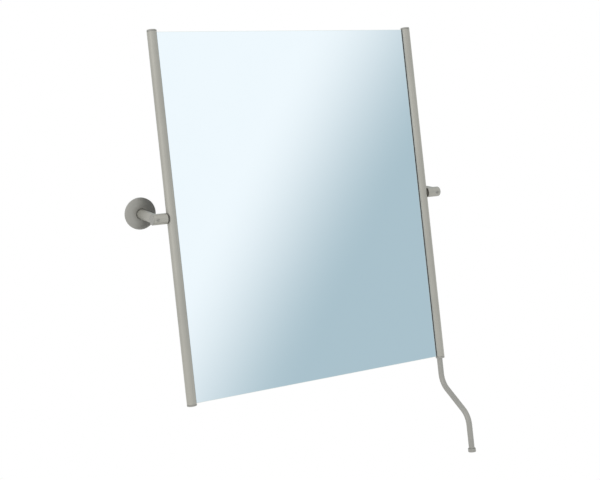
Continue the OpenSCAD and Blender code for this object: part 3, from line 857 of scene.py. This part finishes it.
knob_outline = rounded([(0, KNOB_H - KNOB_SEAT, 0), (ROD_R + PLAY, KNOB_H - KNOB_SEAT, 0),
                        (ROD_R + PLAY, KNOB_H, BROKEN_EDGE), (KNOB_R, KNOB_H, KNOB_ROUND),
                        (KNOB_R, 0, KNOB_ROUND), (0, 0, 0)])
knob_place = ROD_END @ Matrix.Translation((0, 0, KNOB_SEAT - KNOB_H))
knob = skin("lever_knob_turned", spin(knob_outline), knob_place)
carry(knob, PANE_BODY, "coated_metal", TURNED_COAT, "lever_knob")
compare("knob's lowest point", min(v.co.z for v in knob.data.vertices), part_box("lever_knob")[0].z)

# %% [markdown]
# ## Rosettes and housing caps
#
# A rosette is spun from thin sheet: a shallow dome with a rolled rim, open at the back and lifted off
# over the arm. Its wall has a real thickness, because it is seen from behind where there is no wall in
# the picture. The housing's end cap is a short turned plug with a generous radius.

# %% Spun covers and turned caps
ROSETTE_GAP, ROSETTE_ROLL, ROSETTE_LIP, DOME_STEPS = 0.7 * MM, 1.3 * MM, 0.6 * MM, 18
ROSETTE_BORE = POST_R + ROSETTE_GAP
DOME_TOP = ROSETTE_BORE + ROSETTE_WALL
HOUSING_CAP_EDGE, SPIGOT_EDGE = 0.2 * MM, 0.4 * MM


def dome(r_out, r_in, rim, height):
    """A shallow arch from the inner radius, where it is level, down to the rim."""
    span, rise = r_out - r_in, height - rim
    arch = (span * span + rise * rise) / (2 * rise)
    end = math.degrees(math.asin(span / arch))
    return arc((r_in, height - arch), arch, 90, 90 - end, DOME_STEPS)


def build_rosette(side):
    """The domed cover over a wall plate."""
    inner_r, inner_h = ROSETTE_R - ROSETTE_WALL, ROSETTE_H - ROSETTE_WALL
    outer = dome(ROSETTE_R, DOME_TOP, ROSETTE_RIM, ROSETTE_H)
    inner = dome(inner_r, DOME_TOP, ROSETTE_RIM - ROSETTE_WALL, inner_h)
    corners = [(r, z, 0) for r, z in outer[:-1]] + [(*outer[-1], ROSETTE_ROLL)]
    corners += [(ROSETTE_R, 0, BROKEN_EDGE), (inner_r, 0, BROKEN_EDGE)]
    corners += [(r, z, 0) for r, z in reversed(inner)]
    corners += [(ROSETTE_BORE, inner_h, BROKEN_EDGE), (ROSETTE_BORE, ROSETTE_H, ROSETTE_LIP)]
    name = "rosette_" + SIDES[side]
    cover = skin(name + "_spun", spin(rounded(corners, closed=True)), wall_frame(side), loop=True)
    carry(cover, WALL_BODY, "coated_metal", TURNED_COAT, name)


cap_start = HOUSING_END - HOUSING_CAP_T
spigot_end = cap_start - SPIGOT_L
housing_cap_outline = rounded([(0, HOUSING_END, 0), (HOUSING_R, HOUSING_END, HOUSING_CAP_ROUND),
                               (HOUSING_R, cap_start, HOUSING_CAP_EDGE), (SPIGOT_R, cap_start, 0),
                               (SPIGOT_R, spigot_end, SPIGOT_EDGE), (0, spigot_end, 0)], steps=6)

for side, word in SIDES.items():
    build_rosette(side)
    cap = skin("housing_cap_" + word + "_turned", spin(housing_cap_outline), housing_frame(side))
    carry(cap, WALL_BODY, "coated_metal", TURNED_COAT, "housing_cap_" + word)

# %% [markdown]
# ## Screws
#
# Two kinds of screw show: a countersunk one in the front of each pivot housing, and small headless
# ones under the arms and in the back of the right-hand tube. Each is modelled once in each length, with
# the hexagon of its socket drawn as a ring whose radius depends on the angle. Geometry Nodes then put a
# copy on every point of a small mesh, turned to the direction stored on that point, and the copies
# become one plain mesh.

# %% Sizes of the screws
HEAD_R, HEAD_H, ARM_SCREW_L, HEAD_SINK = 3.75 * MM, 2.1 * MM, 30 * MM, 0.75 * MM
SET_L, COLLAR_SET_L, SET_SINK, SET_Y = 6 * MM, 4.5 * MM, 0.5 * MM, 8 * MM
ARM_SOCKET, ARM_SOCKET_DEPTH = 2.5 * MM, 1.7 * MM
SOCKET_CHAMFER, SOCKET_CONE = 0.12 * MM, 0.3 * MM
TIP_ROUND, HEAD_ROUND, HEAD_LAND, SET_LAND = 0.4 * MM, 0.12 * MM, 0.3 * MM, 0.5 * MM
print(f"arm screws {ARM_SCREW_L / MM:.0f} mm and set screws {SET_L / MM:.0f} mm long")


# %% Model the screws once
def hexagon(flats):
    """Radius of a hexagon as a function of the angle."""
    def radius(angle):
        return flats / 2 / math.cos((angle + math.pi / 6) % (math.pi / 3) - math.pi / 6)
    return radius


def socket_screw(name, outline, flats, depth):
    """A screw whose top is at Z = 0, with a hexagon socket in it. The depth includes its coned bottom."""
    mouth = hexagon(flats)
    rings = spin(outline, AROUND_SMALL)
    rings.append(ring(lambda a: mouth(a) + SOCKET_CHAMFER, 0, AROUND_SMALL))
    rings += [ring(mouth, z, AROUND_SMALL) for z in (-SOCKET_CHAMFER, SOCKET_CONE - depth)]
    rings.append(ring(0, -depth))
    return skin(name, rings, Matrix.Identity(4))


countersunk_outline = rounded([(0, -ARM_SCREW_L, 0), (SCREW_R, -ARM_SCREW_L, TIP_ROUND),
                               (SCREW_R, -HEAD_H, 0), (HEAD_R, 0, HEAD_ROUND), (HEAD_R - HEAD_LAND, 0, 0)])


def headless_outline(length):
    """Outline of a set screw with rounded ends."""
    return rounded([(0, -length, 0), (SCREW_R, -length, TIP_ROUND), (SCREW_R, 0, BROKEN_EDGE),
                    (SCREW_R - SET_LAND, 0, 0)])


def headless_screw(name, length):
    """A set screw with a socket half as wide as the screw and half as deep as it is long."""
    return socket_screw(name, headless_outline(length), SCREW_R, length / 2)


arm_screw = socket_screw("arm_screw_model", countersunk_outline, ARM_SOCKET, ARM_SOCKET_DEPTH)
set_screw = headless_screw("set_screw_model", SET_L)
collar_screw = headless_screw("collar_screw_model", COLLAR_SET_L)
print("screw models:", arm_screw.name, set_screw.name, collar_screw.name)


# %% Put the screws in their holes
def screw_tree():
    """A copy of one model on each point, with its top in the direction called aim."""
    inputs = [("Geometry", "NodeSocketGeometry"), ("Model", "NodeSocketObject"),
              ("Material", "NodeSocketMaterial")]
    tree, into, out, named = node_tree("Screws on points", inputs)
    model = add(tree, "GeometryNodeObjectInfo", {"Object": into.outputs["Model"]})
    aim = add(tree, "GeometryNodeInputNamedAttribute", {"Name": "aim"}, data_type="FLOAT_VECTOR")
    inputs = {"Vector": aim.outputs["Attribute"]}
    turned = add(tree, "FunctionNodeAlignRotationToVector", inputs, axis="Z")
    inputs = {"Points": into.outputs["Geometry"], "Instance": model.outputs["Geometry"],
              "Rotation": turned.outputs[0]}
    placed = add(tree, "GeometryNodeInstanceOnPoints", inputs)
    end_tree(tree, into, out, placed.outputs[0])
    return tree, named


def place_screws(name, model, spots, finish):
    """Copies of a screw at (point, direction) spots, as one plain mesh."""
    points = bpy.data.meshes.new(name)
    points.from_pydata([spot for spot, _ in spots], [], [])
    aim = points.attributes.new("aim", "FLOAT_VECTOR", "POINT")
    for entry, (_, direction) in zip(aim.data, spots):
        entry.vector = direction
    return run_tree(name, points, *SCREWS, {"Model": model, "Material": finish})


SCREWS = screw_tree()
out_of_wall = Vector((0, -1, 0))
under = Vector((0, 0, -1))
head_y = -REACH - HOUSING_R + HEAD_SINK
arm_spots = [(Vector((s * POST_X, head_y, 0)), out_of_wall) for s in SIDES]
carry(place_screws("arm_screws", arm_screw, arm_spots, TURNED_COAT), WALL_BODY, "coated_metal", None,
      "arm_screw_left", "arm_screw_right")
set_spots = [(Vector((s * POST_X, -SET_Y, -POST_R + SET_SINK)), under) for s in SIDES]
carry(place_screws("arm_set_screw_pair", set_screw, set_spots, STEEL), WALL_BODY, "bright_steel", None,
      "arm_set_screws")
hole = COLLAR @ Matrix.Translation((0, 0, COLLAR_H + COLLAR_SCREW_Z))
collar_spot = [(hole @ Vector((0, TUBE_R - SET_SINK, 0)), hole.to_3x3() @ Vector((0, 1, 0)))]
carry(place_screws("collar_screw", collar_screw, collar_spot, STEEL), PANE_BODY, "bright_steel", None,
      "collar_set_screw")
for model in (arm_screw, set_screw, collar_screw):
    bpy.data.objects.remove(model)

# %% [markdown]
# ## Solids that are right as they are
#
# The housings, arms, wall plates, washers, glazing strips, film and the inner mechanism keep their
# solids, which carry the real holes and seats. They only need their finishes. Which finish each takes
# is read from the record's own slots, so a solid that is added later is dressed without a new line.

# %% Dress the solids
FINISHES = {"coated_metal": COAT, "black_nylon": NYLON, "black_rubber": RUBBER, "zinc": ZINC,
            "bright_steel": STEEL, "safety_film": FILM_WITH_PAINTED_SHADE, "mirror_glass": SILVER}
dressed = 0
for part in frame["record"]["subparts"]:
    solid = nodes[part["node"]]
    if solid.hide_render:
        continue
    solid.data.materials.clear()
    solid.data.materials.append(FINISHES[part["material_slot"]])
    dressed += 1
print("dressed", dressed, "solids from their slots")

# %% [markdown]
# ## The room around it
#
# A mirror shows the room, so the room is part of its look. The studio is plain white, with a pale floor
# well below the object. Low on the right stands a large blue-grey backdrop with a soft edge: it is what
# fills the lower right of the mirror. Further round to the right the white wall is a touch darker. Both
# are drawn as properties of direction in the world and show in reflections alone, so neither tints the
# background or the light. One soft lamp stands close on the left and lights the covers and tubes there.

# %% World
BACKDROP_WAY = Vector((0.768, 0.229, -0.598))
BACKDROP_EDGE, BACKDROP_SIDE = (-0.005, 0.142), (0.76, 0.6)
SIDE_WALL, SIDE_COLOUR = (0.55, 0.85), (0.9, 0.9, 0.89)
BACKDROP_COLOUR, WHITE = (0.466, 0.568, 0.611), (1, 1, 1)
FILL_COLOUR, FILL_STRENGTH = (1, 0.995, 0.985, 1), 0.9


def looked_at(tree, path):
    """1 for what is seen, straight, in a mirror or through glass, and 0 for what only gives light."""
    seen = math_node(tree, "MAXIMUM", path.outputs["Is Camera Ray"], path.outputs["Is Glossy Ray"])
    return math_node(tree, "MAXIMUM", seen, path.outputs["Is Transmission Ray"])


def show_either(tree, mask, first, second, output):
    """The first shader where the mask is 0 and the second where it is 1."""
    both = add(tree, "ShaderNodeMixShader", {0: mask, 1: first.outputs[0], 2: second.outputs[0]})
    feed(tree, output, {"Surface": both.outputs[0]})


def build_world():
    """White to the camera, graded to reflections, and a soft even fill to everything else."""
    world = bpy.data.worlds.new("Studio")
    bpy.context.scene.world = world
    world.use_nodes = True
    tree = world.node_tree
    tree.nodes.clear()
    way = add(tree, "ShaderNodeTexCoord").outputs["Generated"]
    along = add(tree, "ShaderNodeVectorMath", {0: way, 1: BACKDROP_WAY}, operation="DOT_PRODUCT")
    shade_of = ramp(tree, along.outputs["Value"], *BACKDROP_EDGE)
    parts = add(tree, "ShaderNodeSeparateXYZ", {0: way})
    beside = ramp(tree, parts.outputs["X"], *BACKDROP_SIDE)
    sideways = ramp(tree, parts.outputs["X"], *SIDE_WALL)
    white = blend_colours(tree, sideways, WHITE, SIDE_COLOUR)
    graded = blend_colours(tree, math_node(tree, "MULTIPLY", shade_of, beside), white, BACKDROP_COLOUR)
    path = add(tree, "ShaderNodeLightPath")
    seen = blend_colours(tree, path.outputs["Is Camera Ray"], graded, WHITE)
    shown = add(tree, "ShaderNodeBackground", {"Color": seen, "Strength": 1.0})
    fill = add(tree, "ShaderNodeBackground", {"Color": FILL_COLOUR, "Strength": FILL_STRENGTH})
    show_either(tree, looked_at(tree, path), fill, shown, add(tree, "ShaderNodeOutputWorld"))
    return world


print("world:", build_world().name)

# %% Floor
FLOOR_Z, FLOOR_HALF = -1.25, 14.0
FLOOR_COLOUR, FLOOR_ROUGH = (0.82, 0.82, 0.81, 1), 0.8
SHADOW_NEAR, SHADOW_FAR, SHADOW_WHITE = 0.7, 1.3, 0.7


def floor_finish():
    """A pale floor that keeps the shadow under the object and runs out to plain white."""
    finish, tree, shader = new_finish("Pale floor")
    feed(tree, shader, {"Base Color": FLOOR_COLOUR, "Roughness": FLOOR_ROUGH})
    reach = add(tree, "ShaderNodeVectorMath", {0: object_coordinates(tree)}, operation="LENGTH")
    outside = ramp(tree, reach.outputs["Value"], SHADOW_NEAR, SHADOW_FAR, to_low=SHADOW_WHITE)
    seen = looked_at(tree, add(tree, "ShaderNodeLightPath"))
    white = add(tree, "ShaderNodeEmission", {"Strength": 1.0})
    mask = math_node(tree, "MULTIPLY", seen, outside)
    show_either(tree, mask, shader, white, tree.nodes["Material Output"])
    return finish


floor_mesh = bpy.data.meshes.new("floor")
floor_corners = [(x * FLOOR_HALF, y * FLOOR_HALF, 0) for x, y in ((-1, -1), (1, -1), (1, 1), (-1, 1))]
floor_mesh.from_pydata(floor_corners, [], [(0, 1, 2, 3)])
floor_mesh.materials.append(floor_finish())
floor = new_object("floor", floor_mesh)
floor.location = (0, 0, FLOOR_Z)
floor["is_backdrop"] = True
print("floor", -FLOOR_Z, "m under the tilt axis")


# %% Lamp
KEY_PLACE, KEY_TARGET = (-1.7, -0.8, 0.55), (-0.3, -0.1, 0)
KEY_SIZE, KEY_WATTS = 1.6, 3


def soft_lamp(name, place, target, size, energy):
    """A square softbox that faces a point."""
    lamp = bpy.data.lights.new(name, "AREA")
    lamp.shape = "SQUARE"
    lamp.size = size
    lamp.energy = energy
    holder = new_object(name, lamp)
    holder.location = place
    holder.rotation_euler = (Vector(target) - Vector(place)).to_track_quat("-Z", "Y").to_euler()
    return holder


key = soft_lamp("key_softbox", KEY_PLACE, KEY_TARGET, KEY_SIZE, KEY_WATTS)
print("lamp:", key.name)

# %% [markdown]
# ## The camera
#
# The picture was taken from the left and a little above, with a longish lens. The camera's place, its
# turn, dip and roll, the lens and the small shift of the frame were all found by fitting the object's
# own outlines to the photograph. A camera looks along its own -Z, so it is first raised to look along
# +Y and then turned, dipped and rolled.

# %% Camera
VIEW_TURN, VIEW_DIP, VIEW_ROLL = math.radians(29.015), math.radians(9.741), math.radians(0.839)
VIEW_FROM = Vector((-1.06432, -1.98431, 0.33907))
LENS_MM, SENSOR_MM, FRAME_SHIFT = 62.20, 36, -0.0326


def build_camera():
    """The photograph's point of view."""
    lens = bpy.data.cameras.new("photo_view")
    lens.sensor_width = SENSOR_MM
    lens.lens = LENS_MM
    lens.shift_y = FRAME_SHIFT
    camera = new_object("photo_view", lens)
    turn = Matrix.Rotation(-VIEW_TURN, 4, "Z") @ Matrix.Rotation(math.pi / 2 - VIEW_DIP, 4, "X")
    camera.matrix_world = Matrix.Translation(VIEW_FROM) @ turn @ Matrix.Rotation(-VIEW_ROLL, 4, "Z")
    bpy.context.scene.camera = camera
    return camera


print("camera", round((build_camera().location - middle("mirror_glass")).length, 2), "m from the glass")
bpy.context.scene.view_settings.view_transform = "Standard"

# %% [markdown]
# ## The size of the dressed model
#
# The dressed model must not be bigger than the solids. Both boxes are measured, and the script prints
# how far the dressed model stands outside the solids at most.

# %% Sizes
dressed_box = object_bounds()
grown = max(max(c - v for c, v in zip(cad_box[0], dressed_box[0])),
            max(v - c for c, v in zip(cad_box[1], dressed_box[1])))
print(f"the dressed model stands {grown / MM:.3f} mm outside the solids at most")
